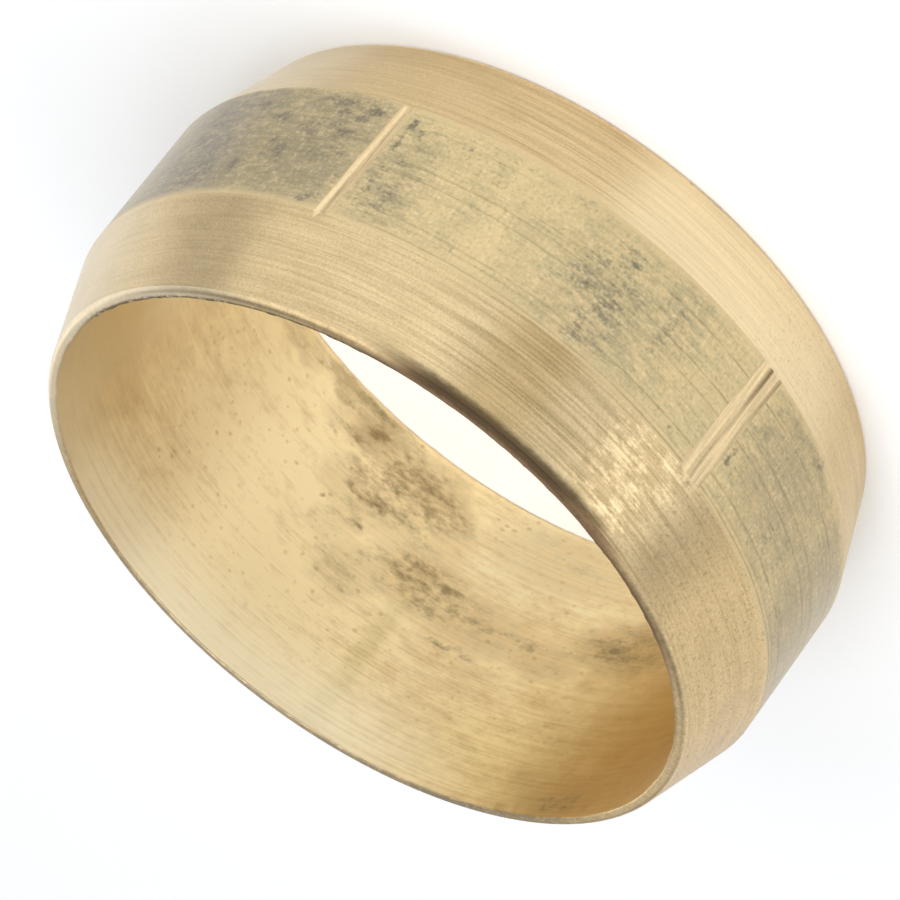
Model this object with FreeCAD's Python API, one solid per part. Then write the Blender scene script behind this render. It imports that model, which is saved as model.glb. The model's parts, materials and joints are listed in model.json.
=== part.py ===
import FreeCAD, Part
import math
import os

# A compression olive: one turned brass ring that is squeezed onto a pipe by a nut.
# It stands on one end, with its axis on +Z and its origin in the middle of the bottom land.

# Driving sizes, in millimetres and degrees

# Pipe that the ring slides over, and the room left round it on the radius
pipe_diameter = 15.0
pipe_clearance = 0.1

# Wall at the middle band, and at the flat land on each end
band_wall = 0.92
land_wall = 0.22

# Length of the middle band along the axis, and slope of each cone to the axis
band_length = 3.2
cone_slope = 18.0

# Round left on the sharp corners of the lands by deburring
corner_radius = 0.03

# Score marks along the band: their section, and their places round the axis from +X
mark_width = 0.36
mark_depth = 0.05
single_mark_angle = -55.1
pair_middle_angle = -119.6
pair_spacing = 0.33

# Sizes that follow from the driving ones
bore_radius = pipe_diameter / 2 + pipe_clearance
band_radius = bore_radius + band_wall
land_radius = bore_radius + land_wall
cone_length = (band_radius - land_radius) / math.tan(math.radians(cone_slope))
ring_length = band_length + 2 * cone_length
pair_half_angle = math.degrees(pair_spacing / 2 / band_radius)

AXIS_POINT = FreeCAD.Vector(0, 0, 0)
AXIS = FreeCAD.Vector(0, 0, 1)
SAME_HEIGHT = 1e-6


def section():
    """Half section of the ring: bore, bottom land, cone, band, cone and top land."""
    corners = [
        (bore_radius, 0),
        (land_radius, 0),
        (band_radius, cone_length),
        (band_radius, cone_length + band_length),
        (land_radius, ring_length),
        (bore_radius, ring_length),
        (bore_radius, 0),
    ]
    outline = Part.makePolygon([FreeCAD.Vector(radius, 0, height) for radius, height in corners])
    return Part.Face(outline)


def is_land_corner(edge):
    """True for the four circles where a land meets the bore or a cone."""
    if not isinstance(edge.Curve, Part.Circle):
        return False
    height = edge.Curve.Center.z
    return min(abs(height), abs(height - ring_length)) < SAME_HEIGHT


def turned_ring():
    """The ring as it leaves the lathe, with the corners of its lands deburred."""
    ring = section().revolve(AXIS_POINT, AXIS, 360)
    land_corners = [edge for edge in ring.Edges if is_land_corner(edge)]
    return ring.makeFillet(corner_radius, land_corners)


def score_mark(angle):
    """A V-shaped cutter along the axis that runs out into the cones at both ends of the band."""
    root_radius = band_radius - mark_depth
    mouth_radius = band_radius + mark_depth
    corners = [(root_radius, 0), (mouth_radius, -mark_width), (mouth_radius, mark_width), (root_radius, 0)]
    outline = Part.makePolygon([FreeCAD.Vector(radius, across, 0) for radius, across in corners])
    cutter = Part.Face(outline).extrude(AXIS * ring_length)
    cutter.rotate(AXIS_POINT, AXIS, angle)
    return cutter


def olive():
    """The finished ring, with its single mark and its pair of marks."""
    angles = [single_mark_angle, pair_middle_angle - pair_half_angle, pair_middle_angle + pair_half_angle]
    return turned_ring().cut([score_mark(angle) for angle in angles])


os.makedirs("parts", exist_ok=True)
ring = olive()
ring.exportStep("parts/olive.step")
print("olive: valid", ring.isValid(), "solids", len(ring.Solids), "volume", round(ring.Volume, 3), "mm3")
print("across", round(2 * band_radius, 3), "long", round(ring_length, 3), "box", ring.BoundBox)
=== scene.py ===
import json
import math

import bpy
from mathutils import Matrix, Vector


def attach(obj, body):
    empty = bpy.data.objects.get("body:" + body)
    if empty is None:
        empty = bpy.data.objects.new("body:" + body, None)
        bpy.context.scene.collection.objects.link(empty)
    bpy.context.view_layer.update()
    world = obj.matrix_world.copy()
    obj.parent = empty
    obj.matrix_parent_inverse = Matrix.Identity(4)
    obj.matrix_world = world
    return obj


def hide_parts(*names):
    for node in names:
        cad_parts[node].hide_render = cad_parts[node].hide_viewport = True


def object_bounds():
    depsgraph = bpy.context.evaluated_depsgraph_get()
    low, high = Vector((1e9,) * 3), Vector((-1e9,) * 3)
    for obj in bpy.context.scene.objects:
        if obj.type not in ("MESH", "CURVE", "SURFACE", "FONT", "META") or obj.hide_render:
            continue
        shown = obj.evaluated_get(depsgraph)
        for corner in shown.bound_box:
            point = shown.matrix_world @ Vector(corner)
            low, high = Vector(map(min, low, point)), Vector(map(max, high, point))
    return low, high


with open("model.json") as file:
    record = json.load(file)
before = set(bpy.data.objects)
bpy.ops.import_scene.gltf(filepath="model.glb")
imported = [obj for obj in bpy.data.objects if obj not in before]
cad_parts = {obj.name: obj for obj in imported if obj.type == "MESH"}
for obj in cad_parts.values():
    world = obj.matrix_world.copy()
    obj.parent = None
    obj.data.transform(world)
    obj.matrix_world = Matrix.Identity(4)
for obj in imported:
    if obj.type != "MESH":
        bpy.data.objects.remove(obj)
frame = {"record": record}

cad_low, cad_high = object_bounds()

# Sizes of the ring, in metres. The bore and the length come from the frame.
MM = 0.001
mounts = {mount["name"]: mount for mount in frame["record"]["mounts"]}
BORE_RADIUS = mounts["pipe_bore"]["dims"]["r_mm"] * MM
RING_LENGTH = cad_high.z - cad_low.z
LAND_WALL = 0.22 * MM
BAND_WALL = 0.92 * MM
LAND_RADIUS = BORE_RADIUS + LAND_WALL
BAND_RADIUS = BORE_RADIUS + BAND_WALL
CONE_SLOPE = math.radians(18)
CONE_LENGTH = (BAND_RADIUS - LAND_RADIUS) / math.tan(CONE_SLOPE)
OUTER_ROUND = 0.15 * MM
INNER_ROUND = 0.04 * MM

# Score marks along the band. Angles round the axis are in degrees from +X, here and in the finishes.
MARK_WIDTH = 0.36 * MM
MARK_DEPTH = 0.05 * MM
SINGLE_MARK = -55.1
PAIR_MIDDLE = -119.6
PAIR_SPACING = 0.33 * MM
PAIR_HALF = math.degrees(PAIR_SPACING / 2 / BAND_RADIUS)
MARK_LEAN = 0.27   # degrees round the ring for each millimetre of height
# Each mark's angle, and how wide it is beside the mark width
MARKS = {
    SINGLE_MARK: 0.8,
    PAIR_MIDDLE - PAIR_HALF: 1.0,
    PAIR_MIDDLE + PAIR_HALF: 1.0,
}

# Heights on the ring in millimetres, as the finishes use them
TOP = RING_LENGTH / MM
BAND_BOTTOM = CONE_LENGTH / MM
BAND_TOP = TOP - BAND_BOTTOM

NOISE_MIDDLE = 0.5   # the level that a noise swings about


class Value:
    """One output of a node, with operators that add Math nodes to its tree."""

    def __init__(self, graph, socket):
        self.graph = graph
        self.socket = socket

    def math(self, operation, *others):
        return self.graph.math(operation, self, *others)

    def swing(self, size):
        """A noise taken from its middle level, so that it goes both ways, and scaled."""
        return (self - NOISE_MIDDLE) * size

    def __add__(self, other):
        return self.math("ADD", other)

    def __sub__(self, other):
        return self.math("SUBTRACT", other)

    def __rsub__(self, other):
        return self.graph.math("SUBTRACT", other, self)

    def __mul__(self, other):
        return self.math("MULTIPLY", other)

    def __truediv__(self, other):
        return self.math("DIVIDE", other)

    def __rtruediv__(self, other):
        return self.graph.math("DIVIDE", other, self)

    def __pow__(self, other):
        return self.math("POWER", other)

    def __abs__(self):
        return self.math("ABSOLUTE")

    def __gt__(self, other):
        return self.math("GREATER_THAN", other)

    def __lt__(self, other):
        return self.math("LESS_THAN", other)

    __radd__ = __add__
    __rmul__ = __mul__


class Graph:
    """Adds nodes to the tree of a material, a world or a modifier."""

    def __init__(self, tree):
        self.tree = tree

    def add(self, kind, settings=None, sockets=None, out=0):
        """A new node: its settings first, then what its sockets take, and one of its outputs as a Value."""
        node = self.tree.nodes.new(kind)
        for name, setting in (settings or {}).items():
            if name == "stops":
                self.set_stops(node.color_ramp, setting)
            else:
                setattr(node, name, setting)
        for name, given in (sockets or {}).items():
            self.feed(node.inputs[name], given)
        return Value(self, node.outputs[out]) if node.outputs else node

    def feed(self, socket, given):
        """Links a Value to a socket, or sets a plain number, colour or vector on it."""
        if isinstance(given, Value):
            self.tree.links.new(given.socket, socket)
        else:
            socket.default_value = given

    def set_stops(self, ramp, stops):
        """Gives a ramp its stops, each a place from 0 to 1 and a grey level."""
        while len(ramp.elements) > 1:
            ramp.elements.remove(ramp.elements[-1])
        for index, (place, level) in enumerate(stops):
            stop = ramp.elements[0] if index == 0 else ramp.elements.new(place)
            stop.position = place
            stop.color = (level, level, level, 1.0)

    def math(self, operation, *given):
        return self.add("ShaderNodeMath", {"operation": operation}, dict(enumerate(given)))

    def vector(self, operation, *given, out=0):
        return self.add("ShaderNodeVectorMath", {"operation": operation}, dict(enumerate(given)), out)

    def split(self, vector):
        """The three parts of a vector."""
        apart = self.add("ShaderNodeSeparateXYZ", {}, {"Vector": vector})
        return [Value(self, socket) for socket in apart.socket.node.outputs]

    def join(self, x, y, z):
        return self.add("ShaderNodeCombineXYZ", {}, {0: x, 1: y, 2: z})

    def smooth(self, value, low, high):
        """0 at low and 1 at high, with soft ends; it falls where low is above high."""
        return self.add(
            "ShaderNodeMapRange",
            {"interpolation_type": "SMOOTHSTEP"},
            {"Value": value, "From Min": low, "From Max": high},
        )

    def between(self, value, low, high, soft):
        """1 from low to high, and 0 beyond, with soft edges that are centred on both."""
        rise = self.smooth(value, low - soft / 2, low + soft / 2)
        return rise * self.smooth(value, high + soft / 2, high - soft / 2)

    def noise(self, place, stretch, offset, detail, roughness, out=0):
        """Noise with that many grains to a millimetre along X, Y and Z."""
        spread = self.vector("MULTIPLY_ADD", place, stretch, (offset, offset, offset))
        sockets = {"Vector": spread, "Scale": 1.0, "Detail": detail, "Roughness": roughness}
        return self.add("ShaderNodeTexNoise", {}, sockets, out)

    def ramp(self, value, low, high, stops):
        """A level that follows the stops, whose places are values from low to high."""
        places = [((place - low) / (high - low), level) for place, level in stops]
        return self.add("ShaderNodeValToRGB", {"stops": places}, {"Fac": (value - low) / (high - low)})

    def colour(self, factor, first, second):
        """first where factor is 0, and second where it is 1."""
        sockets = {0: factor, 6: first, 7: second}
        return self.add("ShaderNodeMix", {"data_type": "RGBA"}, sockets, 2)


# Places and stains round the ring

OUTSIDE = -90.0   # the side that the angles of a finish are centred on
INSIDE = 90.0
MARKED_SIDE = (-215, 35, 60)   # its two ends and the width of its soft ends


def off_axis(x, y):
    return (x * x + y * y) ** 0.5


def angle_from(g, place, side):
    """The angle round the axis in radians from one side, opposite which it jumps, and the height."""
    turned = g.add(
        "ShaderNodeVectorRotate",
        {"rotation_type": "Z_AXIS"},
        {"Vector": place, "Angle": -math.radians(side)},
    )
    ahead, aside, height = g.split(turned)
    return aside.math("ARCTAN2", ahead), height


def unrolled(g, place, side):
    """The angle round the axis in degrees, as the finishes use it, and the height in millimetres."""
    angle, height = angle_from(g, place, side)
    return angle * math.degrees(1) + side, height


def front(g, angle):
    """1 on the side of the score marks, and 0 well round the back, where the finish is plain."""
    return g.between(angle, *MARKED_SIDE)


DEGREES_TO_MM = 7.0   # degrees of the turn to a millimetre round the ring
DRIFT_DETAIL = 3.0
DRIFT_ROUGHNESS = 0.6


def wandering(g, place, angle, height, grain, sway, offset):
    """The angle and height as one vector, shifted a little by noise to give rough edges."""
    drift = g.noise(place, (grain, grain, grain), offset, DRIFT_DETAIL, DRIFT_ROUGHNESS, "Color")
    centred = g.vector("SUBTRACT", drift, (NOISE_MIDDLE, NOISE_MIDDLE, NOISE_MIDDLE))
    swing = g.vector("MULTIPLY", centred, (sway * DEGREES_TO_MM, sway, 0.0))
    return g.vector("ADD", g.join(angle, height, 0.0), swing)


def spots(g, chart, listed):
    """How deep each point lies in the listed spots, from 0 at a rim to the strength in the middle."""
    most = None
    for angle, height, half_angle, half_height, strength in listed:
        share = (1 / half_angle, 1 / half_height, 0.0)
        shift = (-angle / half_angle, -height / half_height, 0.0)
        off = g.vector("MULTIPLY_ADD", chart, share, shift)
        spot = g.smooth(g.vector("DOT_PRODUCT", off, off, out="Value"), 1.0, 0.0) * strength
        most = most.math("MAXIMUM", spot) if most else spot
    return most


# Each spot: angle, height, half angle, half height and strength
FILM_PATCHES = [
    (-16, 3.8, 26, 4.2, 1),
    (-30, 3.8, 16, 3.6, 0.95),
    (-44, 3.6, 18, 3.4, 0.85),
    (-60, 4.2, 9, 1.8, 0.55),
    (-95, 4.1, 12, 2, 0.45),
    (-104, 3.3, 6, 2.2, 0.4),
    (-134, 3.4, 17, 2.6, 0.62),
    (-160, 3.8, 22, 3.4, 0.7),
    (-186, 3.8, 20, 3.2, 0.58),
    (-214, 3.7, 26, 3, 0.5),
    (-244, 3.8, 24, 3, 0.45),
    (16, 3.8, 24, 3.6, 0.8),
    (42, 3.6, 24, 3, 0.58),
    (66, 3.8, 22, 3, 0.45),
]
DARK_SMUDGES = [
    (-34.6, 4.45, 1, 0.34, 0.85),
    (-36.6, 4.5, 0.7, 0.22, 0.5),
    (-39, 3.7, 1.1, 0.3, 0.8),
    (-41, 4, 1.6, 0.26, 0.6),
    (-38.2, 4.15, 1, 0.2, 0.6),
    (-36.4, 3.02, 3, 0.2, 0.7),
    (-31.5, 2.65, 2, 0.18, 0.7),
    (-28, 4.7, 5, 0.6, 0.5),
    (-22, 3, 5, 0.6, 0.35),
    (-45, 2.46, 4.6, 0.14, 0.75),
    (-51.6, 2.52, 2.4, 0.2, 0.85),
    (-47.5, 2.68, 3, 0.13, 0.7),
    (-50, 2.8, 1.2, 0.4, 0.6),
    (-49, 3.22, 2.4, 0.12, 0.8),
    (-43.4, 3.42, 2, 0.18, 0.75),
    (-51, 3.7, 0.9, 0.4, 0.5),
    (-42, 4.5, 1.2, 0.4, 0.45),
    (-46.5, 4.6, 1, 0.3, 0.4),
    (-57.8, 2.58, 1.1, 0.28, 0.95),
    (-57.8, 3.12, 0.95, 0.34, 0.95),
    (-58.2, 4.4, 0.8, 0.9, 0.55),
    (-59.6, 2.8, 1.3, 0.3, 0.55),
    (-61.8, 2.6, 2, 0.11, 0.7),
    (-60.2, 3.6, 1, 0.13, 0.7),
    (-50.6, 5.16, 1.4, 0.2, 0.75),
    (-61, 4.5, 3, 0.9, 0.4),
    (-67.6, 2.57, 0.8, 0.11, 0.9),
    (-93.6, 4.72, 1, 0.25, 0.6),
    (-95.2, 4, 2.6, 0.6, 0.55),
    (-90.2, 3.85, 2.8, 0.45, 0.5),
    (-93, 2.6, 1.4, 0.4, 0.4),
    (-95.6, 2.84, 1.2, 0.1, 0.9),
    (-93.5, 5, 2, 0.3, 0.5),
    (-104, 3.4, 1.6, 1.2, 0.45),
    (-112.8, 5, 0.8, 0.12, 0.7),
    (-122.7, 4.25, 0.8, 0.4, 1),
    (-25, 3.6, 11, 1.7, 0.34),
    (-47, 3.3, 7, 1.4, 0.3),
    (-94, 3.7, 8, 1.6, 0.32),
    (-136.4, 2.36, 2.6, 0.26, 0.5),
    (-130.6, 3, 1.2, 0.8, 0.4),
    (-137.6, 4.3, 1.8, 0.7, 0.4),
]
BROWN_SMEARS = [
    (76, 0.2, 6.5, 0.22, 0.7),
    (79.3, 0.6, 3.4, 0.34, 0.95),
    (76, 1.08, 4.5, 0.15, 0.65),
    (89.5, 1.05, 6, 0.45, 0.8),
    (91.8, 0.9, 2.6, 0.26, 0.9),
    (97.5, 1.2, 4.5, 0.4, 0.5),
    (84, 2.08, 6.2, 0.16, 0.9),
    (85.2, 2.68, 2.6, 0.16, 0.8),
    (77.5, 2.65, 0.8, 0.14, 1),
    (98.3, 2.9, 5.8, 0.8, 0.8),
    (99.2, 2.85, 3, 0.5, 0.95),
    (105.5, 2.72, 4.2, 0.17, 0.95),
    (106.5, 3.03, 3.6, 0.14, 0.85),
    (100, 3.5, 5.5, 0.13, 0.7),
    (113.5, 3.15, 5.8, 0.18, 0.7),
    (122, 3.2, 2, 0.26, 0.85),
    (111, 4.05, 7, 0.12, 0.75),
    (138.5, 2.6, 9, 0.55, 0.55),
    (148, 7.05, 8, 0.22, 0.55),
    (89, 1.3, 14, 1.3, 0.5),
    (103, 3.05, 14, 1, 0.45),
]
GREY_HAZE = [
    (74, 0.05, 14, 0.8, 0.95),
    (80, 0.6, 10, 0.9, 0.9),
    (90.5, 0.9, 12, 1.1, 0.75),
    (85, 2, 14, 1, 0.55),
    (98, 2.8, 12, 1.3, 0.5),
    (113, 3.2, 16, 0.9, 0.36),
    (140, 2.6, 16, 1, 0.6),
    (118, 0.9, 18, 1.3, 0.3),
    (148, 7, 13, 0.6, 0.35),
    (88, 3.8, 9, 1, 0.5),
    (81.5, 3.2, 6, 0.6, 0.36),
    (78, 2.2, 6, 0.5, 0.5),
    (94, 3.3, 6, 0.7, 0.5),
    (98, 1.4, 8, 0.7, 0.5),
    (126, 3.4, 9, 0.8, 0.42),
    (58, 0.4, 10, 0.6, 0.6),
    (73, 1, 6, 0.55, 0.55),
    (83, 2.7, 5, 0.5, 0.5),
]
STAIN_SEED = 7.0
# For each face, the side it is seen from and its layers of stain.
# Each layer: grains to a millimetre, sway in millimetres and spots.
STAINS = {
    "band": (OUTSIDE, {"film": (1.2, 1.2, FILM_PATCHES), "stain": (3.0, 0.4, DARK_SMUDGES)}),
    "bore": (INSIDE, {"stain": (2.4, 0.35, BROWN_SMEARS), "haze": (2.0, 0.9, GREY_HAZE)}),
}


# The ring's mesh

STEPS_AROUND = 560
MARK_DENSITY = 0.2   # how far apart the steps are at a mark, beside elsewhere
SEAM_ANGLE = -270.0
SMEARED_HEIGHT = 4.4 * MM
PAIR_REACH = 7.2     # degrees on each side over which the steps close up
SINGLE_REACH = 4.1
GRID_SIZE = 1.0
MERGE_DISTANCE = 1e-7
ZONE_MARGIN = 0.5    # how far off a zone's number still counts as that zone
SHARP_ANGLE = math.radians(24)
# Rows of faces along each run of the section
ROWS = {"lip": 4, "flat": 3, "curl": 10, "cone": 16, "band": 46, "plain bore": 12, "smeared bore": 44}


def gathered_angle(turn):
    """The angle at a share of the turn, with the steps gathered at the single mark and at the pair."""
    reach = {PAIR_MIDDLE: math.radians(PAIR_REACH), SINGLE_MARK: math.radians(SINGLE_REACH)}
    pull = {angle: spread * (1 - MARK_DENSITY) for angle, spread in reach.items()}
    sweep = 2 * math.pi + 2 * sum(pull.values())
    angle = turn * sweep + math.radians(SEAM_ANGLE)
    passed = 0.0
    for middle, spread in reach.items():
        passed += pull[middle]
        centre = (math.radians(middle - SEAM_ANGLE) + passed) / sweep
        eased = ((turn - centre) * (sweep / spread)).math("TANH")
        angle = angle - eased * pull[middle] - pull[middle]
        passed += pull[middle]
    return angle


def straight(start, end):
    """A straight run of the section, from a radius and height to another."""
    def at(share):
        return [share * (last - first) + first for first, last in zip(start, end)]
    return at


def rounded(radius, height, size, first, last):
    """A rounded corner of the section, from one angle to another in degrees."""
    def at(share):
        swing = share * math.radians(last - first) + math.radians(first)
        return swing.math("COSINE") * size + radius, swing.math("SINE") * size + height
    return at


def section(s):
    """The runs of the ring's section in order: finish, rows, length, and where each one goes."""
    bore, land, band = s["bore radius"], s["land radius"], s["band radius"]
    top, cone = s["ring length"], s["cone length"]
    inner, outer = s["inner round"], s["outer round"]
    turn = math.pi / 2 - CONE_SLOPE
    set_back = outer * math.tan(turn / 2)
    foot_radius = set_back * math.sin(CONE_SLOPE) + land
    foot_height = set_back * math.cos(CONE_SLOPE)
    slope = math.degrees(CONE_SLOPE)
    lip = INNER_ROUND * math.pi / 2
    flat = LAND_RADIUS - BORE_RADIUS - INNER_ROUND - OUTER_ROUND
    curl = OUTER_ROUND * turn
    side = CONE_LENGTH / math.cos(CONE_SLOPE)
    middle = RING_LENGTH - 2 * CONE_LENGTH
    plain = RING_LENGTH - SMEARED_HEIGHT
    return [
        ("land", ROWS["lip"], lip, rounded(bore + inner, inner, inner, 180, 270)),
        ("land", ROWS["flat"], flat, straight((bore + inner, 0.0), (land - set_back, 0.0))),
        ("land", ROWS["curl"], curl, rounded(land - set_back, outer, outer, 270, 360 - slope)),
        ("cone", ROWS["cone"], side, straight((foot_radius, foot_height), (band, cone))),
        ("band", ROWS["band"], middle, straight((band, cone), (band, top - cone))),
        ("cone", ROWS["cone"], side, straight((band, top - cone), (foot_radius, top - foot_height))),
        ("land", ROWS["curl"], curl, rounded(land - set_back, top - outer, outer, slope, 90)),
        ("land", ROWS["flat"], flat, straight((land - set_back, top), (bore + inner, top))),
        ("land", ROWS["lip"], lip, rounded(bore + inner, top - inner, inner, 90, 180)),
        ("bore", ROWS["plain bore"], plain, straight((bore, top - inner), (bore, SMEARED_HEIGHT))),
        ("bore", ROWS["smeared bore"], SMEARED_HEIGHT, straight((bore, SMEARED_HEIGHT), (bore, inner))),
    ]


def turned_face(g, rows, run, zone, chart_low, chart_high):
    """One face of the ring: a run of the section turned round the axis, with its zone and bake chart."""
    counts = {"Vertices X": STEPS_AROUND + 1, "Vertices Y": rows + 1}
    grid = g.add("GeometryNodeMeshGrid", {}, {"Size X": GRID_SIZE, "Size Y": GRID_SIZE} | counts)
    across, along, _ = g.split(g.add("GeometryNodeInputPosition"))
    turn = across + GRID_SIZE / 2
    share = along + GRID_SIZE / 2
    angle = gathered_angle(turn)
    radius, height = run(share)
    place = g.join(radius * angle.math("COSINE"), radius * angle.math("SINE"), height)
    chart = g.join(turn, share * (chart_high - chart_low) + chart_low, 0.0)
    charted = g.add(
        "GeometryNodeStoreNamedAttribute",
        {"data_type": "FLOAT2", "domain": "CORNER"},
        {"Geometry": grid, "Name": "OFBake", "Value": chart},
    )
    zoned = g.add(
        "GeometryNodeStoreNamedAttribute",
        {"data_type": "INT", "domain": "FACE"},
        {"Geometry": charted, "Name": "zone", "Value": zone},
    )
    return g.add("GeometryNodeSetPosition", {}, {"Geometry": zoned, "Position": place})


def stained(g, face, side, layers):
    """The face with the depth of each layer of stain kept at its points."""
    place = g.vector("MULTIPLY", g.add("GeometryNodeInputPosition"), (1 / MM, 1 / MM, 1 / MM))
    angle, height = unrolled(g, place, side)
    for name, (grain, sway, listed) in layers.items():
        chart = wandering(g, place, angle, height, grain, sway, STAIN_SEED)
        face = g.add(
            "GeometryNodeStoreNamedAttribute",
            {"data_type": "FLOAT", "domain": "POINT"},
            {"Geometry": face, "Name": name, "Value": spots(g, chart, listed)},
        )
    return face


def moved(g, ring, radius, new_radius):
    """The ring with each point moved to a new radius."""
    x, y, z = g.split(g.add("GeometryNodeInputPosition"))
    share = new_radius / radius
    place = g.join(x * share, y * share, z)
    return g.add("GeometryNodeSetPosition", {}, {"Geometry": ring, "Position": place})


def scored(g, ring, s):
    """The ring with its score marks cut, each a V that runs out into the cones."""
    place = g.add("GeometryNodeInputPosition")
    x, y, z = g.split(place)
    radius = off_axis(x, y)
    lean = (z - s["ring length"] / 2) * (math.radians(MARK_LEAN) / MM)
    cut = radius
    for mark, share in MARKS.items():
        angle, _ = angle_from(g, place, mark)
        arc = abs(angle - lean) * s["band radius"]
        depth = (1 - arc * 2 / (s["mark width"] * share)).math("MAXIMUM", 0.0) * s["mark depth"]
        cut = cut.math("MINIMUM", s["band radius"] - depth)
    return moved(g, ring, radius, cut)


BURR_GRAIN = {"Scale": 2.2 / MM, "Detail": 3.0, "Roughness": 0.65}
BURR_LEVELS = (0.42, 0.7)   # of the grain, from no burr to the full burr


def burred(g, ring, s):
    """The ring with a fine ragged burr where the lands meet the bore."""
    place = g.add("GeometryNodeInputPosition")
    x, y, z = g.split(place)
    radius = off_axis(x, y)
    off_end = z.math("MINIMUM", s["ring length"] - z)
    off_bore = radius - s["bore radius"]
    edge = g.smooth(off_end + off_bore, s["burr reach"], 0.0)
    sockets = {"Vector": place, "W": s["burr seed"]} | BURR_GRAIN
    grain = g.add("ShaderNodeTexNoise", {"noise_dimensions": "4D"}, sockets)
    ragged = g.smooth(grain, *BURR_LEVELS) * edge * s["burr size"]
    return moved(g, ring, radius, radius - ragged)


RING_SIZES = {
    "bore radius": BORE_RADIUS,
    "land radius": LAND_RADIUS,
    "band radius": BAND_RADIUS,
    "ring length": RING_LENGTH,
    "cone length": CONE_LENGTH,
    "inner round": INNER_ROUND,
    "outer round": OUTER_ROUND,
    "mark width": MARK_WIDTH,
    "mark depth": MARK_DEPTH,
    "burr size": 0.035 * MM,
    "burr reach": 0.12 * MM,
    "burr seed": 4.0,
}


def ring_tree(finishes):
    """A tree that turns every run of the section, joins them, cuts the marks and raises the burr."""
    tree = bpy.data.node_groups.new("turned ring", "GeometryNodeTree")
    tree.interface.new_socket("Geometry", in_out="OUTPUT", socket_type="NodeSocketGeometry")
    inputs = {}
    for name in RING_SIZES:
        inputs[name] = tree.interface.new_socket(name, in_out="INPUT", socket_type="NodeSocketFloat")
    for zone in finishes:
        inputs[zone] = tree.interface.new_socket(zone, in_out="INPUT", socket_type="NodeSocketMaterial")
    g = Graph(tree)
    given = g.add("NodeGroupInput").socket.node
    s = {name: Value(g, given.outputs[name]) for name in inputs}
    zones = list(finishes)
    runs = section(s)
    whole_length = sum(length for _, _, length, _ in runs)
    faces = g.add("GeometryNodeJoinGeometry")
    walked = 0.0
    for zone, rows, length, run in runs:
        low = walked / whole_length
        walked += length
        face = turned_face(g, rows, run, zones.index(zone), low, walked / whole_length)
        if zone in STAINS:
            face = stained(g, face, *STAINS[zone])
        g.feed(faces.socket.node.inputs[0], face)
    closed = g.add("GeometryNodeMergeByDistance", {}, {"Geometry": faces, "Distance": MERGE_DISTANCE})
    shaped = burred(g, scored(g, closed, s), s)
    smooth = g.add("GeometryNodeSetShadeSmooth", {}, {"Geometry": shaped})
    ring = g.add("GeometryNodeRealizeInstances", {}, {"Geometry": smooth})
    number = g.add("GeometryNodeInputNamedAttribute", {"data_type": "INT"}, {"Name": "zone"})
    for zone in zones:
        here = number.math("COMPARE", zones.index(zone), ZONE_MARGIN)
        sockets = {"Geometry": ring, "Selection": here, "Material": s[zone]}
        ring = g.add("GeometryNodeSetMaterial", {}, sockets)
    g.add("NodeGroupOutput", {}, {0: ring})
    return tree, {name: socket.identifier for name, socket in inputs.items()}


def placed(name, data):
    """A new object in the scene."""
    thing = bpy.data.objects.new(name, data)
    bpy.context.scene.collection.objects.link(thing)
    return thing


def make_ring(finishes):
    """The olive as a plain mesh, made by the tree."""
    tree, identifiers = ring_tree(finishes)
    maker = placed("olive_maker", bpy.data.meshes.new("olive_maker"))
    modifier = maker.modifiers.new("turned ring", "NODES")
    modifier.node_group = tree
    for name, given in (RING_SIZES | finishes).items():
        modifier[identifiers[name]] = given
    depsgraph = bpy.context.evaluated_depsgraph_get()
    mesh = bpy.data.meshes.new_from_object(maker.evaluated_get(depsgraph))
    bpy.data.objects.remove(maker)
    mesh.name = "olive_ring"
    mesh.attributes.remove(mesh.attributes["zone"])
    mesh.set_sharp_from_angle(angle=SHARP_ANGLE)
    return placed("olive_ring", mesh)


# What the finishes share


def rgb(red, green, blue):
    return (red, green, blue, 1.0)


MIDDLE_TONE = 0.5
WHITE = rgb(1.0, 1.0, 1.0)   # as a tint it changes nothing
TOOTH = 0.003 * MM           # height of the finest relief
AXIAL_SPREAD = 0.25          # a quarter turn lays the gloss across the turning lines


def cleared(owner):
    """An empty tree on a material or a world."""
    owner.use_nodes = True
    owner.node_tree.nodes.clear()
    return Graph(owner.node_tree)


def new_finish(name):
    """A new material with an empty tree, and the place on the ring in millimetres."""
    material = bpy.data.materials.new(name)
    g = cleared(material)
    where = g.add("ShaderNodeTexCoord", {}, {}, "Object")
    return material, g, g.vector("MULTIPLY", where, (1 / MM, 1 / MM, 1 / MM))


def noises(g, place, recipes):
    """The noises of a finish. Each recipe: grains to a millimetre, offset, detail and roughness."""
    return [g.noise(place, *recipe) for recipe in recipes.values()]


def stretches(g, angle, listed):
    """1 inside each named stretch round the ring. Each has two ends and the width of its soft ends."""
    return {name: g.between(angle, *ends) for name, ends in listed.items()}


def fades(g, value, listed):
    """Each named rise from 0 to 1, from the first angle or height to the second."""
    return {name: g.smooth(value, *ends) for name, ends in listed.items()}


def kept(g, name):
    """A layer of stain that is kept at the points of the mesh."""
    return g.add("ShaderNodeAttribute", {"attribute_name": name}, {}, "Fac")


def shade(g, **sockets):
    """Ends a material's tree in one shader."""
    named = {name.replace("_", " "): given for name, given in sockets.items()}
    shader = g.add("ShaderNodeBsdfPrincipled", {}, named)
    g.add("ShaderNodeOutputMaterial", {}, {"Surface": shader})


def brass(g, colour, metallic, roughness, spread, relief):
    """Ends a finish of the ring in brass with a fine relief and a gloss that is spread along the axis."""
    shade(
        g,
        Base_Color=colour,
        Metallic=metallic,
        Roughness=roughness,
        Anisotropic=spread,
        Anisotropic_Rotation=AXIAL_SPREAD,
        Normal=g.add("ShaderNodeBump", {}, {"Height": relief, "Distance": TOOTH, "Strength": 1.0}),
    )


# Turned cones

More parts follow.
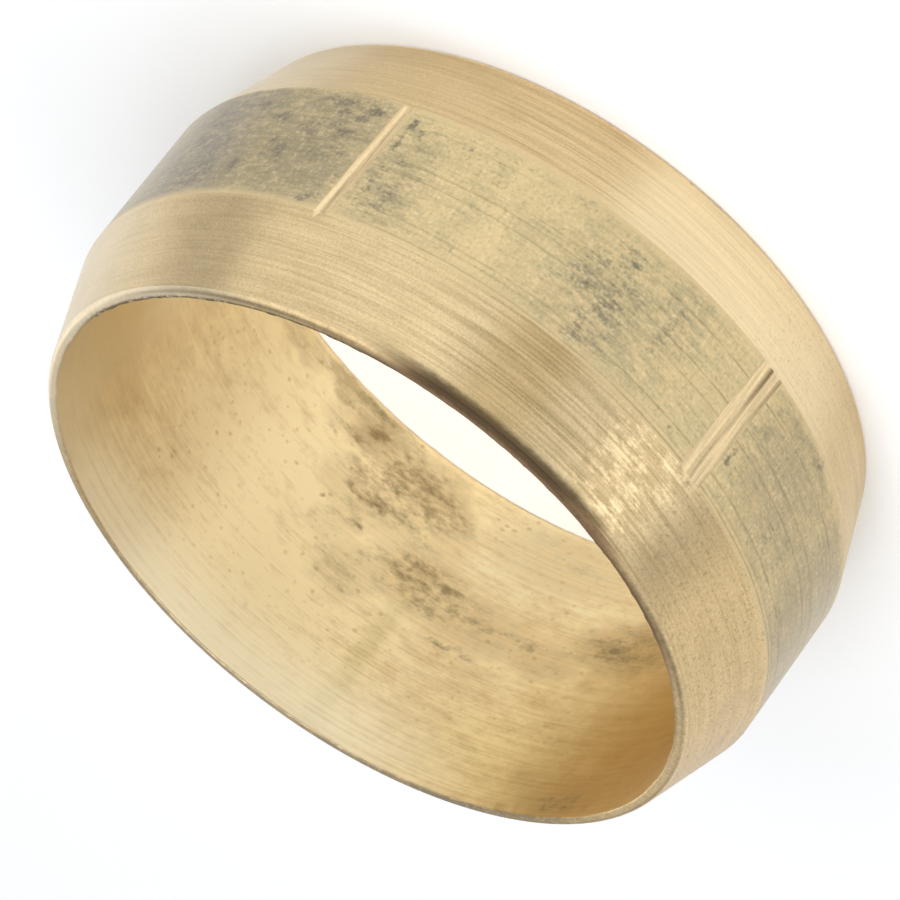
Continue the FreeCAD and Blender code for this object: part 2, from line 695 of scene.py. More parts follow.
CONE_NOISES = {
    "fine": ((0.35, 0.35, 17), 3, 2, 0.6),
    "broad": ((0.2, 0.2, 4), 11, 2, 0.6),
    "grain": ((20, 20, 24), 15, 1, 0.5),
    "cloud": ((0.8, 0.8, 1.6), 5, 3, 0.6),
    "fleck": ((5, 5, 16), 21, 3, 0.7),
    "blotch": ((1.9, 1.9, 3.2), 9, 4, 0.65),
    "pit": ((9, 9, 14), 25, 2, 0.65),
}
CONE_COLOURS = {
    "lower line": rgb(0.54, 0.404, 0.206),
    "upper line": rgb(0.48, 0.355, 0.178),
    "lower brass": rgb(0.885, 0.70, 0.415),
    "upper brass": rgb(0.92, 0.725, 0.425),
    "lit": rgb(1.0, 0.84, 0.55),
    "lower painted sheen": rgb(0.80, 0.74, 0.62),
    "upper painted sheen": rgb(0.86, 0.78, 0.62),
    "lower painted shade": rgb(0.92, 0.90, 0.865),
    "upper painted shade": rgb(0.86, 0.82, 0.73),
    "upper painted highlight": rgb(1.13, 1.09, 1.03),
    "burnish dull": rgb(0.88, 0.86, 0.82),
    "burnish highlight": rgb(1.32, 1.34, 1.38),
    "pit": rgb(0.37, 0.262, 0.132),
    "rim": rgb(0.10, 0.066, 0.033),
    "fresh": rgb(0.90, 0.70, 0.41),
}
CONE_STRETCHES = {
    "lit": (-134, -88, 14),
    "lower painted shade": (-87, -38, 9),
    "upper painted shade": (-97, -86, 8),
    "burnish_and_highlight": (-119, -106, 7),
    "rim": (-116, -76, 16),
}
CONE_FADES = {
    "lower painted sheen": (-52, -20), "upper painted sheen": (-34, -6), "upper painted highlight": (-122, -133),
    "pitted": (-104, -124),
}
# Levels of noise between which each look sets in, and then how strong each one is
CONE_LEVELS = {
    "line": (0.3, 0.62), "cloud": (0.45, 0.72), "burnish": (0.44, 0.6), "pit": (0.55, 0.74),
}
CONE_SHARES = {
    "fine": 0.42, "broad": 0.5, "grain": 0.75, "cloud": 0.25, "lit": 0.5, "pale": 0.5,
    "burnish blotch": 0.75, "burnish fleck": 0.25, "pits": 0.1, "right pits": 0.22, "upper pits": 0.2,
    "pit grain": 0.6, "rim": 0.92, "fresh": 0.8, "grain relief": 0.4,
}
CONE_GLOSS = {"roughness": 0.37, "pit": 0.12, "rim": 0.2, "rim dirt": 0.1, "spread": 0.9}
# How deep the turning lines look, by angle, on the upper cone and on the lower one
LINES_ENDS = (-180, 0)
UPPER_LINES = [
    (-180, 0.35), (-128, 0.5), (-118, 1.4), (-112, 1.3), (-84, 1.2),
    (-78, 0.8), (-52, 0.65), (-44, 0.4), (0, 0.35),
]
LOWER_LINES = [(-180, 0.5), (-124, 0.65), (-110, 1.4), (-72, 1.3), (-60, 0.65), (0, 0.5)]
RIM_HEIGHTS = (TOP - 0.36, TOP - 0.15)
RIM_RAGGED = 0.12
# Where the score marks run out into the upper cone
RUN_OUT = 0.2             # millimetres
RUN_OUT_END = (1.0, 0.8)  # as shares of that
SINGLE_BRIGHT = -54.5     # the bright flank of the single mark
PAIR_TO_SINGLE = 2        # how much wider the pair is
FRESH_HALF = (1.3, 0.8)   # half the width of the pair in degrees, at its rim and inside it
FRESH_TAPER = 1.2


def cone_finish():
    """Brass with fine turning lines, pits, a brown stain round part of the upper rim that darkens as
    painted shade, and painted highlights, sheen and shade by angle.
    """
    material, g, place = new_finish("turned cone")
    angle, height = unrolled(g, place, OUTSIDE)
    fine, broad, grain, cloud, fleck, blotch, pit = noises(g, place, CONE_NOISES)
    hue, level, share, gloss = CONE_COLOURS, CONE_LEVELS, CONE_SHARES, CONE_GLOSS
    stretch = stretches(g, angle, CONE_STRETCHES)
    fade = fades(g, angle, CONE_FADES)
    seen = front(g, angle)
    upper = height > TOP / 2
    lower = 1 - upper

    upper_depth = g.ramp(angle, *LINES_ENDS, UPPER_LINES) * upper
    depth = upper_depth + g.ramp(angle, *LINES_ENDS, LOWER_LINES) * lower
    lines = g.smooth(fine, *level["line"]).swing(share["fine"]) + broad.swing(share["broad"])
    tone = lines * depth + grain.swing(share["grain"]) + MIDDLE_TONE
    dark = g.colour(upper, hue["lower line"], hue["upper line"])
    light = g.colour(upper, hue["lower brass"], hue["upper brass"])
    colour = g.colour(tone, dark, light)
    colour = g.colour(g.smooth(cloud, *level["cloud"]) * share["cloud"], colour, dark)
    # Painted highlight: the lower cone is lighter over the stretch where it reflects the lit floor.
    colour = g.colour(stretch["lit"] * lower * share["lit"], colour, hue["lit"])
    # Painted sheen: paler towards the left end of the cones, where they are seen at a grazing angle.
    pale = fade["lower painted sheen"] * lower + fade["upper painted sheen"] * upper
    painted_sheen = g.colour(upper, hue["lower painted sheen"], hue["upper painted sheen"])
    colour = g.colour(pale * seen * share["pale"], colour, painted_sheen)

    # Burnished mottling, lifted past the brass colour as a painted highlight over the stretch where the
    # upper cone catches its brightest reflection.
    patch = g.smooth(blotch * share["burnish blotch"] + fleck * share["burnish fleck"], *level["burnish"])
    burnish_and_highlight = g.colour(patch, hue["burnish dull"], hue["burnish highlight"])
    # Painted shade over two darker stretches, and a painted highlight past the far right of the upper cone,
    # stand in for dimmer and brighter reflections.
    tint = g.colour(stretch["lower painted shade"] * lower, WHITE, hue["lower painted shade"])
    tint = g.colour(fade["upper painted highlight"] * seen * upper, tint, hue["upper painted highlight"])
    tint = g.colour(stretch["upper painted shade"] * upper, tint, hue["upper painted shade"])
    tint = g.colour(stretch["burnish_and_highlight"] * upper, tint, burnish_and_highlight)
    colour = g.vector("MULTIPLY", colour, tint)

    pitted = fade["pitted"] * seen * (upper * share["upper pits"] + share["right pits"]) + share["pits"]
    pits = g.smooth(pit + grain.swing(share["pit grain"]), *level["pit"]) * pitted
    colour = g.colour(pits, colour, hue["pit"])
    # A brown stain round part of the upper rim, darkened further as painted shade where the edge rolls
    # over.
    rim = g.smooth(height + fleck.swing(RIM_RAGGED), *RIM_HEIGHTS) * stretch["rim"]
    colour = g.colour(rim * share["rim"], colour, hue["rim"])

    upright = angle - (height - TOP / 2) * MARK_LEAN
    past = abs(height - BAND_TOP) / RUN_OUT
    nearest = (abs(upright - SINGLE_BRIGHT) * PAIR_TO_SINGLE).math("MINIMUM", abs(upright - PAIR_MIDDLE))
    outer, inner = [half - past * FRESH_TAPER for half in FRESH_HALF]
    fresh = g.smooth(nearest, outer, inner) * g.smooth(past, *RUN_OUT_END)
    colour = g.colour(fresh * share["fresh"], colour, hue["fresh"])

    metallic = 1 - rim * gloss["rim dirt"]
    roughness = gloss["roughness"] + pits * gloss["pit"] + rim * gloss["rim"]
    brass(g, colour, metallic, roughness, gloss["spread"], fine + grain * share["grain relief"])
    return material


# Stained band

BAND_NOISES = {
    "grain": ((2.2, 2.2, 7), 31, 4, 0.75),
    "fine": ((13, 13, 13), 37, 1, 0.5),
    "cloud": ((0.8, 0.8, 1), 13, 3, 0.6),
    "hatch": ((14, 14, 0.6), 17, 2, 0.5),
    "hairs": ((0.3, 0.3, 12), 19, 2, 0.6),
}
BAND_COLOURS = {
    "brass": rgb(0.71, 0.555, 0.30),
    "mottled brass": rgb(0.59, 0.487, 0.267),
    "painted brass highlight": rgb(0.80, 0.625, 0.33),
    "right brass": rgb(0.575, 0.445, 0.23),
    "film": rgb(0.318, 0.266, 0.162),
    "left film": rgb(0.29, 0.262, 0.215),
    "right film": rgb(0.385, 0.312, 0.188),
    "left end painted sheen": rgb(0.50, 0.46, 0.375),
    "right end painted light": rgb(0.54, 0.485, 0.39),
    "speck": rgb(0.27, 0.225, 0.125),
    "spark": rgb(1.0, 0.84, 0.50),
    "rubbed edge": rgb(0.72, 0.56, 0.31),
    "line": rgb(0.25, 0.185, 0.095),
    "smudge": rgb(0.14, 0.122, 0.088),
    "mark painted shade": rgb(0.24, 0.17, 0.088),
    "mark painted highlight": rgb(0.92, 0.72, 0.42),
}
BAND_STRETCHES = {
    "painted brass highlight": (-79, -74, 3),
    "left end painted sheen": (-16.5, 7, 17),
    "right end painted light": (-198, -161, 22),
    "top edge": (-112, -66, 12),
    "bottom edge": (-100, -62, 12),
    "unrubbed": (-52, 60, 20),
}
BAND_FADES = {
    "left film": (-38, -24), "right film": (-122, -130), "sparks": (-30, -58), "lines": (-54, -64),
    "right lines": (-98, -108),
}
BAND_HEIGHTS = {
    "top edge": (BAND_TOP - 0.4, BAND_TOP), "bottom edge": (BAND_BOTTOM + 0.25, BAND_BOTTOM),
    "single mark": (BAND_BOTTOM, BAND_BOTTOM + 0.08), "filled pair": (2.7, 3.6),
}
RUBBED_TOP = (BAND_TOP - 0.24, BAND_TOP)
RUBBED_BOTTOM = (BAND_BOTTOM + 0.24, BAND_BOTTOM)
MARK_STRETCHES = {"single": (-56.4, -54.0, 0.3), "pair": (-122.0, -117.5, 0.25)}
BAND_LEVELS = {
    "mottle": (0.36, 0.64), "film": (0.0, 1.1), "speck": (0.0, 0.42), "spark": (0.0, -0.42),
    "edge hairs": (0.35, 0.6), "line grain": (0.3, 0.55), "smudge": (0.2, 1.2),
}
BAND_SHARES = {
    "mottle cloud": 0.4, "mottle grain": 0.6, "painted brass highlight": 0.4, "right brass": 0.6, "film": 0.9,
    "film grain": 1.7, "film cloud": 0.5, "fine": 0.9, "hairs": 0.5, "hatch": 0.35, "speck": 0.52,
    "spark": 0.28, "middle spark": 0.12, "ragged": 0.3, "edge": 0.75, "rubbed": 0.7,
    "line sway": 0.08, "line": 0.75, "line grain": 0.6, "faint line": 0.4, "smudge": 0.85,
    "smudge grain": 1.8, "smudge fine": 0.9, "filled tone": 0.8, "filled": 0.6, "mark hatch": 1.0,
    "mark fine": 0.25, "hairs relief": 0.6,
}
BAND_GLOSS = {
    "roughness": 0.41, "film": 0.06, "fresh": 0.06, "spread": 0.6, "dirt": 0.1, "film dirt": 0.3,
    "smudge dirt": 0.4,
}
# Heights of the scribed lines and how dark they are, on the right of the band and on its left
RIGHT_LINES = [
    (2.45, 0.3), (2.76, 0.75), (3.05, 0.2), (3.54, 0.8), (3.91, 0.65),
    (4.32, 0.35), (4.87, 0.7), (5.15, 0.4), (5.27, 0.9),
]
LEFT_LINES = [
    (2.60, 0.3), (3.30, 0.3), (3.54, 0.55), (3.84, 0.5), (4.87, 0.5), (5.02, 0.35), (5.27, 0.6),
]
LINE_HALF = 0.035
# Painted highlight and shade across the marks, by angle at half height
SINGLE_ENDS = (-57, -53)
SINGLE_PAINTED_LIGHT = [
    (-56.8, 0.4), (-56.3, 0.6), (-55.7, 0.66), (-55.15, 0.55),
    (-54.95, 0.6), (-54.7, 0.88), (-54.3, 0.88), (-54.0, 0.5),
]
PAIR_ENDS = (-123, -117)
PAIR_PAINTED_LIGHT = [
    (-122.6, 0.3), (-122.3, 0.2), (-122.1, 0.4), (-121.85, 0.2), (-121.55, 0.45),
    (-121.2, 0.75), (-120.3, 0.75), (-119.95, 0.35), (-119.75, 0.08), (-119.5, 0.1),
    (-119.2, 0.5), (-118.9, 0.85), (-117.8, 0.85), (-117.4, 0.5),
]


def scribed(g, height, lines):
    """Dark lines round the band at the listed heights."""
    stops = []
    for level, strength in lines:
        stops += [(level - LINE_HALF, 0.0), (level, strength), (level + LINE_HALF, 0.0)]
    return g.ramp(height, BAND_BOTTOM, BAND_TOP, stops)


def filmed(g, film, mottle, stretch, fade, seen):
    """The colour of the band, from mottled brass where it is clear to the film where that is thick, with a
    painted highlight strip and painted sheen at both ends.
    """
    hue, share = BAND_COLOURS, BAND_SHARES
    right = fade["right film"] * seen
    clear = g.colour(mottle, hue["brass"], hue["mottled brass"])
    # Painted highlight: a narrow lighter strip along the axis of the clear brass.
    clear = g.colour(stretch["painted brass highlight"] * share["painted brass highlight"], clear, hue["painted brass highlight"])
    clear = g.colour(right * share["right brass"], clear, hue["right brass"])
    grey = g.colour(fade["left film"] * seen, hue["film"], hue["left film"])
    grey = g.colour(right, grey, hue["right film"])
    # Painted sheen: paler ends of the band, where it is seen at a grazing angle.
    for end in ("left end painted sheen", "right end painted light"):
        grey = g.colour(stretch[end], grey, hue[end])
    return g.colour(film * share["film"], clear, grey)


def band_finish():
    """Brass under a dull yellow-grey film, smudged and scribed, with fresh metal in the score marks,
    painted highlight and shade across the marks, a painted highlight strip and painted sheen at the ends.
    """
    material, g, place = new_finish("stained band")
    angle, height = unrolled(g, place, OUTSIDE)
    grain, fine, cloud, hatch, hairs = noises(g, place, BAND_NOISES)
    hue, level, share, gloss = BAND_COLOURS, BAND_LEVELS, BAND_SHARES, BAND_GLOSS
    stretch = stretches(g, angle, BAND_STRETCHES)
    fade = fades(g, angle, BAND_FADES)
    risen = fades(g, height, BAND_HEIGHTS)
    seen = front(g, angle)

    mottle = g.smooth(cloud * share["mottle cloud"] + grain * share["mottle grain"], *level["mottle"])
    thick = kept(g, "film") + grain.swing(share["film grain"]) + cloud.swing(share["film cloud"])
    film = g.smooth(thick, *level["film"])
    colour = filmed(g, film, mottle, stretch, fade, seen)
    speckle = fine.swing(share["fine"]) + hairs.swing(share["hairs"]) + hatch.swing(share["hatch"])
    colour = g.colour(g.smooth(speckle, *level["speck"]) * share["speck"], colour, hue["speck"])
    sparks = fade["sparks"] * seen * share["middle spark"] + share["spark"]
    colour = g.colour(g.smooth(speckle, *level["spark"]) * sparks, colour, hue["spark"])

    ragged = height + grain.swing(share["ragged"])
    rubbed = g.smooth(ragged, *RUBBED_BOTTOM) * (1 - stretch["unrubbed"])
    rubbed = rubbed.math("MAXIMUM", g.smooth(ragged, *RUBBED_TOP))
    bottom_edge = risen["bottom edge"] * stretch["bottom edge"]
    edge = (risen["top edge"] * stretch["top edge"]).math("MAXIMUM", bottom_edge)
    edge = edge * g.smooth(hairs, *level["edge hairs"]) * share["edge"]
    colour = g.colour(edge.math("MAXIMUM", rubbed * share["rubbed"]), colour, hue["rubbed edge"])

    swayed = height + cloud.swing(share["line sway"])
    lines = g.colour(fade["right lines"], scribed(g, swayed, LEFT_LINES), scribed(g, swayed, RIGHT_LINES))
    broken = g.smooth(grain, *level["line grain"]) * share["line grain"] + share["faint line"]
    lines = lines * seen * fade["lines"] * broken
    colour = g.colour(lines * share["line"], colour, hue["line"])
    soiled = kept(g, "stain") + grain.swing(share["smudge grain"]) + fine.swing(share["smudge fine"])
    smudge = g.smooth(soiled, *level["smudge"])
    colour = g.colour(smudge * share["smudge"], colour, hue["smudge"])

    upright = angle - (height - TOP / 2) * MARK_LEAN
    mark = stretches(g, upright, MARK_STRETCHES)
    fresh = (mark["single"] * risen["single mark"]).math("MAXIMUM", mark["pair"])
    # Painted highlight on one flank of each mark, painted shade on the other flank and in its root.
    single_painted_light = g.ramp(upright, *SINGLE_ENDS, SINGLE_PAINTED_LIGHT)
    pair_painted_light = g.ramp(upright, *PAIR_ENDS, PAIR_PAINTED_LIGHT)
    tone = g.colour(angle < OUTSIDE, single_painted_light, pair_painted_light)
    filled = (share["filled tone"] - tone) * risen["filled pair"] * mark["pair"] * share["filled"]
    tone = tone + filled + hatch.swing(share["mark hatch"]) + fine.swing(share["mark fine"])
    colour = g.colour(fresh, colour, g.colour(tone, hue["mark painted shade"], hue["mark painted highlight"]))

    dirt = film * gloss["film dirt"] + smudge * gloss["smudge dirt"] + gloss["dirt"]
    metallic = 1 - (1 - fresh) * dirt
    roughness = gloss["roughness"] + film * gloss["film"] - fresh * gloss["fresh"]
    brass(g, colour, metallic, roughness, gloss["spread"], fine + hairs * share["hairs relief"])
    return material


# Drawn bore

BORE_NOISES = {
    "cloud": ((0.8, 0.8, 1.4), 2, 4, 0.62),
    "streak": ((0.14, 0.14, 13), 6, 3, 0.62),
    "flake": ((1.8, 1.8, 4.2), 14, 6, 0.74),
    "speck": ((4.6, 4.6, 6), 23, 2, 0.6),
}
DOT_CELLS = (4.0, 4.0, 5.0)   # to a millimetre
BORE_COLOURS = {
    "dark": rgb(0.68, 0.48, 0.225),
    "light": rgb(1.0, 0.84, 0.51),
    "low painted_reflection": rgb(0.70, 0.50, 0.20),
    "high painted_reflection": rgb(0.67, 0.435, 0.165),
    "left end painted sheen": rgb(1.0, 0.89, 0.63),
    "right end painted light": rgb(0.88, 0.83, 0.74),
    "pale foot": rgb(1.06, 1.10, 1.18),
    "yellow rim": rgb(0.95, 0.94, 0.86),
    "painted reflection line": rgb(0.88, 0.89, 0.82),
    "pale rim": rgb(1.0, 0.92, 0.69),
    "dot": rgb(0.79, 0.71, 0.58),
    "haze": rgb(0.60, 0.56, 0.51),
    "brown smear": rgb(0.27, 0.17, 0.068),
    "green smear": rgb(0.26, 0.205, 0.095),
}
BORE_STRETCHES = {
    "calm": (-60, 42, 42),
    "bright": (50, 94, 24),
    "left end painted sheen": (2, 29, 14),
    "right end painted light": (144, 220, 24),
    "pale foot": (104, 140, 16),
    "yellow rim": (112, 146, 20),
    "painted reflection line": (97.3, 100.9, 2.6),
    "pale rim": (30, 118, 36),
    "dots": (40, 138, 30),
    "green smear": (128, 156, 12),
}
BORE_FADES = {"painted_reflection": (122, 162), "painted_reflection end": (255, 205)}
BORE_HEIGHTS = {
    "streaks": (3.4, 5.4), "high painted_reflection": (4.6, 6.4), "pale foot": (3.0, 1.6), "yellow rim": (4.6, 6.0),
    "painted reflection line": (2.5, 5.0), "pale rim": (5.2, 7.3), "dots": (7.2, 5.2), "green smear": (0.5, 0.1),
}
BORE_LEVELS = {
    "pale streak": (0.36, 0.6), "dotted": (0.34, 0.52), "haze edge": (0.0, 0.35), "haze": (0.0, 1.1),
    "smear edge": (0.0, 0.4), "smear": (0.05, 1.6),
}
BORE_SHARES = {
    "cloud": 0.9, "streak": 0.75, "high streak": 0.6, "calm": 0.65, "flake": 1.8, "tone": 0.74,
    "bright": 0.26, "painted_reflection": 0.65, "left end painted sheen": 0.75, "pale rim": 0.4, "pale streak": 0.4,
    "dot edge": 0.6, "dot size": 0.34, "least dot": 0.08, "dot": 0.7, "faint dot": 0.3,
    "haze flake": 2.2, "haze cloud": 1.0, "smear": 0.88, "smear flake": 2.6, "smear speck": 1.4,
    "flake relief": 0.5,
}
BORE_GLOSS = {"roughness": 0.48, "smear": 0.1, "spread": 0.9, "smear dirt": 0.15, "pale dirt": 0.3}


def dimpled(g, place, cloud, speck, stretch, risen):
    """Small round dimples, some faint and some deep, where the clouds are."""
    level, share = BORE_LEVELS, BORE_SHARES
    cells = g.vector("MULTIPLY", place, DOT_CELLS)
    off_dot = g.add("ShaderNodeTexVoronoi", {}, {"Vector": cells, "Scale": 1.0}, "Distance")
    chance, _, _ = g.split(Value(g, off_dot.socket.node.outputs["Color"]))
    size = chance * share["dot size"] + share["least dot"]
    dots = g.smooth(off_dot + speck.swing(share["dot edge"]), size, 0.0)
    dots = dots * (chance * share["dot"] + share["faint dot"])
    return dots * g.smooth(cloud, *level["dotted"]) * stretch["dots"] * risen["dots"]


def bore_finish():
    """Yellow brass, mottled along its turn, with faint dimples and brown smears low on the far side, and
    painted reflections and light round the turn.
    """
    material, g, place = new_finish("drawn bore")
    angle, height = unrolled(g, place, INSIDE)
    cloud, streak, flake, speck = noises(g, place, BORE_NOISES)
    hue, level, share, gloss = BORE_COLOURS, BORE_LEVELS, BORE_SHARES, BORE_GLOSS
    stretch = stretches(g, angle, BORE_STRETCHES)
    fade = fades(g, angle, BORE_FADES)
    risen = fades(g, height, BORE_HEIGHTS)

    streaked = risen["streaks"] * share["high streak"] + share["streak"]
    streaked = streaked * (1 - stretch["calm"] * share["calm"])
    flaked = share["flake"] - stretch["calm"]
    tone = cloud.swing(share["cloud"]) + streak.swing(streaked) + flake.swing(flaked)
    # Painted light: the tone is raised over the middle of the bore.
    tone = tone + stretch["bright"] * share["bright"] + share["tone"]
    colour = g.colour(tone, hue["dark"], hue["light"])
    # Painted reflection: deeper orange towards the right of the bore, where it reflects its own brass wall.
    painted_reflection = g.colour(risen["high painted_reflection"], hue["low painted_reflection"], hue["high painted_reflection"])
    colour = g.colour(fade["painted_reflection"] * fade["painted_reflection end"] * share["painted_reflection"], colour, painted_reflection)
    # Painted sheen: a paler left end of the bore, seen at a grazing angle.
    colour = g.colour(stretch["left end painted sheen"] * share["left end painted sheen"], colour, hue["left end painted sheen"])

    # Painted shade: the right end of the bore is darkened, as it reflects the brass wall across from it.
    tint = g.colour(stretch["right end painted light"], WHITE, hue["right end painted light"])
    # Of these tints, the faint dark line along the axis is a painted reflection.
    for name in ("pale foot", "yellow rim", "painted reflection line"):
        tint = g.colour(stretch[name] * risen[name], tint, hue[name])
    colour = g.vector("MULTIPLY", colour, tint)
    pale = risen["pale rim"] * stretch["pale rim"]
    streaky = g.smooth(streak, *level["pale streak"]) * share["pale streak"] + share["pale rim"]
    colour = g.colour(pale * streaky, colour, hue["pale rim"])
    dots = dimpled(g, place, cloud, speck, stretch, risen)
    colour = g.vector("MULTIPLY", colour, g.colour(dots, WHITE, hue["dot"]))

    haze = kept(g, "haze")
    ragged = flake.swing(share["haze flake"]) + cloud.swing(share["haze cloud"])
    hazed = g.smooth(haze + g.smooth(haze, *level["haze edge"]) * ragged, *level["haze"])
    colour = g.vector("MULTIPLY", colour, g.colour(hazed, WHITE, hue["haze"]))
    soiled = kept(g, "stain")
    broken = flake.swing(share["smear flake"]) + speck.swing(share["smear speck"])
    smear = g.smooth(soiled + g.smooth(soiled, *level["smear edge"]) * broken, *level["smear"])
    green = stretch["green smear"].math("MAXIMUM", risen["green smear"])
    smeared = g.colour(green, hue["brown smear"], hue["green smear"])
    colour = g.colour(smear * share["smear"], colour, smeared)

    metallic = 1 - smear * gloss["smear dirt"] - pale * gloss["pale dirt"]
    roughness = gloss["roughness"] + smear * gloss["smear"]
    brass(g, colour, metallic, roughness, gloss["spread"], streak + flake * share["flake relief"])
    return material


# End lands

LAND_NOISES = {
    "cloud": ((0.8, 0.8, 0.8), 8, 3, 0.6),
    "speck": ((6, 6, 9), 26, 3, 0.65),
    "grain": ((18, 18, 18), 28, 1, 0.5),
}
LAND_COLOURS = {
    "dark": rgb(0.60, 0.44, 0.225),
    "light": rgb(1.0, 0.78, 0.45),
    "pale": rgb(0.95, 0.85, 0.66),
    "brown": rgb(0.31, 0.20, 0.105),
    "brown edge shade": rgb(0.27, 0.175, 0.092),
    "black edge shade": rgb(0.085, 0.055, 0.028),
    "brown speck": rgb(0.12, 0.078, 0.04),
    "burr": rgb(0.17, 0.12, 0.065),
    "dull": rgb(0.46, 0.385, 0.27),
}
LAND_STRETCHES = {
    "pale": (-45, 30, 30),
    "brown": (-121, -74, 12),
    "inner brown": (-142, -66, 18),
    "black edge shade": (-110, -78, 12),
    "burr": (-168, -8, 14),
    "dark burr": (-72, -10, 14),
}
LAND_FADES = {"left dull": (34, 74), "right dull": (-195, -222)}
# Distances from the bore in millimetres over which each look sets in, and how ragged its edge is
LAND_DEPTHS = {"inner brown": (0.2, 0.08), "edge": (0.08, 0.2), "burr": (0.10, 0.04)}
LAND_RAGGED = {"inner brown": 0.12, "edge": 0.1, "burr": 0.16}
LAND_LEVELS = {"brown speck": (0.5, 0.7), "burr": (0.3, 0.5), "dull": (0.62, 0.42)}
LAND_SHARES = {
    "cloud": 0.6, "speck": 1.2, "grain": 0.9, "pale": 0.6, "brown speck": 0.5, "burr": 0.3,
    "dark burr": 0.55, "dull": 0.45, "dull speck": 0.4, "speck relief": 0.5,
}
LAND_GLOSS = {
    "roughness": 0.4, "burr": 0.12, "brown": 0.15, "dull": 0.15, "spread": 0.6, "brown dirt": 0.15,
}


def land_finish():
    """Brass on the ends with painted sheen on the left, a brown stain on the side of the marks that darkens
    to painted shade at the outer edge, dull on the far side, and a dark burr.
    """
    material, g, place = new_finish("end land")
    angle, height = unrolled(g, place, OUTSIDE)
    cloud, speck, grain = noises(g, place, LAND_NOISES)
    hue, level, share, gloss = LAND_COLOURS, LAND_LEVELS, LAND_SHARES, LAND_GLOSS
    stretch = stretches(g, angle, LAND_STRETCHES)
    fade = fades(g, angle, LAND_FADES)
    upper = height > TOP / 2
    x, y, _ = g.split(place)
    off_bore = off_axis(x, y) - BORE_RADIUS / MM
    inward = {}
    for name, ends in LAND_DEPTHS.items():
        inward[name] = g.smooth(off_bore + speck.swing(LAND_RAGGED[name]), *ends)

    tone = cloud.swing(share["cloud"]) + speck.swing(share["speck"]) + grain.swing(share["grain"])
    colour = g.colour(tone + MIDDLE_TONE, hue["dark"], hue["light"])
    # Painted sheen: the lands are paler on the left, standing in for the light they reflect there.
    colour = g.colour(stretch["pale"] * share["pale"], colour, hue["pale"])

    # A brown stain on the side of the marks, darkened towards the outer edge as painted shade where the
    # land rolls over.
    inner_brown = stretch["inner brown"] * inward["inner brown"]
    brown = stretch["brown"].math("MAXIMUM", inner_brown) * upper
    edge = g.colour(stretch["black edge shade"], hue["brown edge shade"], hue["black edge shade"])
    stain_and_shade = g.colour(inward["edge"], hue["brown"], edge)
    specked = g.smooth(speck, *level["brown speck"]) * share["brown speck"]
    stain_and_shade = g.colour(specked, stain_and_shade, hue["brown speck"])
    colour = g.colour(brown, colour, stain_and_shade)

    strong = stretch["dark burr"] * share["dark burr"] + stretch["burr"] * share["burr"]
    burr = inward["burr"] * upper * strong * g.smooth(speck, *level["burr"])
    colour = g.colour(burr, colour, hue["burr"])
    away = (fade["left dull"] + fade["right dull"]) * upper
    dull = away * (g.smooth(speck, *level["dull"]) * share["dull speck"] + share["dull"])
    colour = g.colour(dull, colour, hue["dull"])

    metallic = 1 - brown * gloss["brown dirt"]
    roughness = gloss["roughness"] + burr * gloss["burr"] + brown * gloss["brown"] + dull * gloss["dull"]
    brass(g, colour, metallic, roughness, gloss["spread"], grain + speck * share["speck relief"])
    return material


# Stage, lights and camera

FLOOR_HALF = 0.6
FLOOR_GAP = 0.01 * MM
FLOOR_COLOUR = rgb(0.855, 0.868, 0.89)
FLOOR_ROUGHNESS = 0.9
FLOOR_SHINE = 0.1
FLOOR_GLOW = 0.18   # a pale table lit from below


def make_floor():
    """A plain pale floor under the ring."""
    mesh = bpy.data.meshes.new("floor")
    corners = [(-1, -1), (1, -1), (1, 1), (-1, 1)]
    mesh.from_pydata([(x * FLOOR_HALF, y * FLOOR_HALF, -FLOOR_GAP) for x, y in corners], [], [(0, 1, 2, 3)])
    material = bpy.data.materials.new("pale floor")
    shade(
        cleared(material),
        Base_Color=FLOOR_COLOUR,
        Roughness=FLOOR_ROUGHNESS,
        Specular_IOR_Level=FLOOR_SHINE,
        Emission_Color=WHITE,
        Emission_Strength=FLOOR_GLOW,
    )
    mesh.materials.append(material)
    floor = placed("floor", mesh)


RING_CENTRE = Vector((0.0, 0.0, RING_LENGTH / 2))
SOFTBOX_DISTANCE = 0.25


def direction(azimuth, elevation):
    """A unit vector from the ring's centre, with azimuth in degrees from +X."""
    a, e = math.radians(azimuth), math.radians(elevation)
    return Vector((math.cos(a) * math.cos(e), math.sin(a) * math.cos(e), math.sin(e)))


def softbox(name, azimuth, elevation, width, height, radiance):
    """A soft area light that faces the ring. Its brightness to a mirror is its radiance."""
    lamp = bpy.data.lights.new(name, "AREA")
    lamp.shape = "RECTANGLE"
    lamp.size = width
    lamp.size_y = height
    lamp.energy = math.pi * width * height * radiance
    box = placed(name, lamp)
    towards = direction(azimuth, elevation)
    box.location = RING_CENTRE + towards * SOFTBOX_DISTANCE
    box.rotation_euler = towards.to_track_quat("Z", "Y").to_euler()


ROOM_COLOUR = rgb(0.98, 0.99, 1.0)
ROOM_LIGHT = 0.16
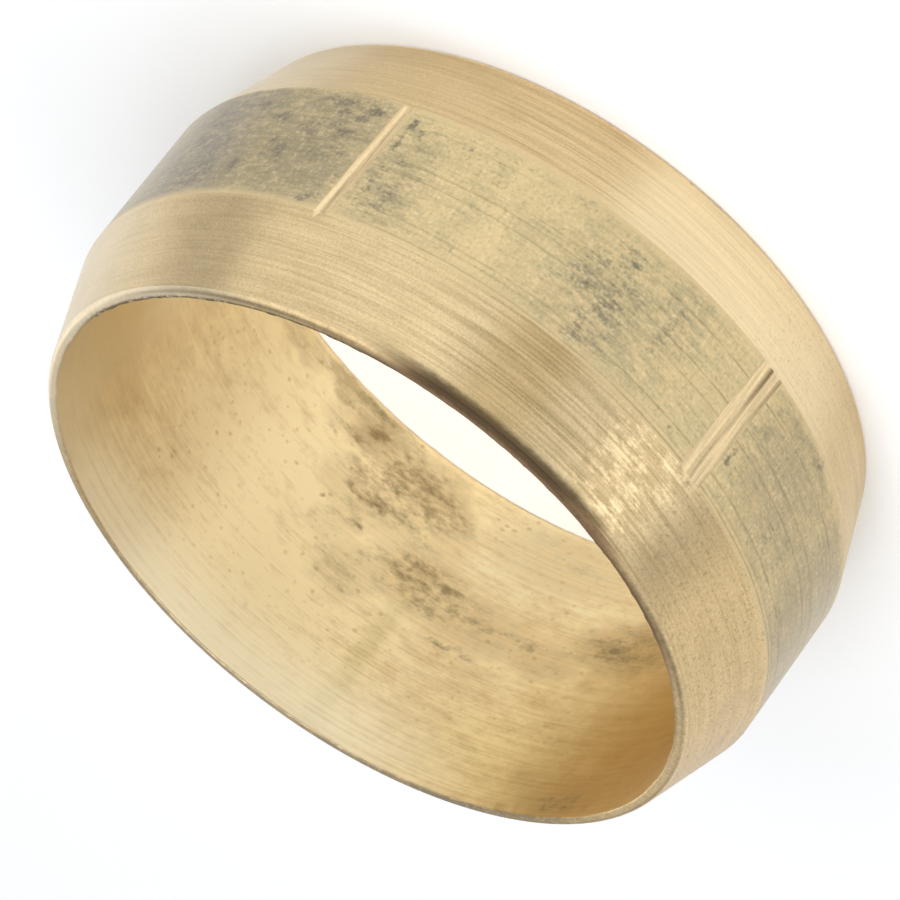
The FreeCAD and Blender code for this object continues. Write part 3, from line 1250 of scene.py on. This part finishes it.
# Each softbox: azimuth, elevation, width and height in metres, and radiance
SOFTBOXES = {
    "wide softbox": (-39, 28, 0.325, 0.25, 1.12),
    "narrow high softbox": (-140, 38, 0.115, 0.18, 1.2),
    "narrow low softbox": (-140, 14, 0.10, 0.12, 0.6),
    "back right softbox": (47, 14, 0.255, 0.12, 1.1),
    "back left softbox": (158, 14, 0.28, 0.12, 0.6),
    "left softbox": (-172, 32, 0.13, 0.18, 0.38),
    "right softbox": (8, 22, 0.12, 0.16, 0.2),
    "back softbox": (90, 32, 0.30, 0.12, 0.6),
    "high softbox": (-90, 52, 0.16, 0.10, 1.2),
    "top softbox": (-110, 68, 0.20, 0.20, 2.9),
}


def make_lights():
    """A pale room, and the softboxes round the ring."""
    world = bpy.data.worlds.new("pale room")
    g = cleared(world)
    room = g.add("ShaderNodeBackground", {}, {"Color": ROOM_COLOUR, "Strength": ROOM_LIGHT})
    g.add("ShaderNodeOutputWorld", {}, {"Surface": room})
    bpy.context.scene.world = world
    for name, settings in SOFTBOXES.items():
        softbox(name, *settings)


VIEW_ELEVATION = 29.27
VIEW_ROLL = 217.24
VIEW_DISTANCE = 139.77 * MM
VIEW_RIGHT = -0.115 * MM
VIEW_UP = -0.216 * MM
LENS_TO_FRAME = 7.3686   # focal length beside the frame's width
SENSOR_WIDTH = 36.0      # millimetres
CLIP_START = 0.01
CLIP_END = 2.0


def make_camera():
    """A long lens that looks along +Y and down on the ring, rolled until the ring lies as it should."""
    lens = bpy.data.cameras.new("camera")
    lens.sensor_width = SENSOR_WIDTH
    lens.lens = LENS_TO_FRAME * SENSOR_WIDTH
    lens.clip_start = CLIP_START
    lens.clip_end = CLIP_END
    camera = placed("camera", lens)
    tilt = Matrix.Rotation(math.radians(90 - VIEW_ELEVATION), 4, "X")
    turn = tilt @ Matrix.Rotation(math.radians(VIEW_ROLL), 4, "Z")
    stand = RING_CENTRE + turn.to_3x3() @ Vector((VIEW_RIGHT, VIEW_UP, VIEW_DISTANCE))
    camera.matrix_world = Matrix.Translation(stand) @ turn
    bpy.context.scene.camera = camera


finishes = {
    "land": land_finish(),
    "cone": cone_finish(),
    "band": band_finish(),
    "bore": bore_finish(),
}
olive = make_ring(finishes)
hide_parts("olive")
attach(olive, "root")
make_floor()
make_lights()
make_camera()
bpy.context.scene.view_settings.view_transform = "Standard"
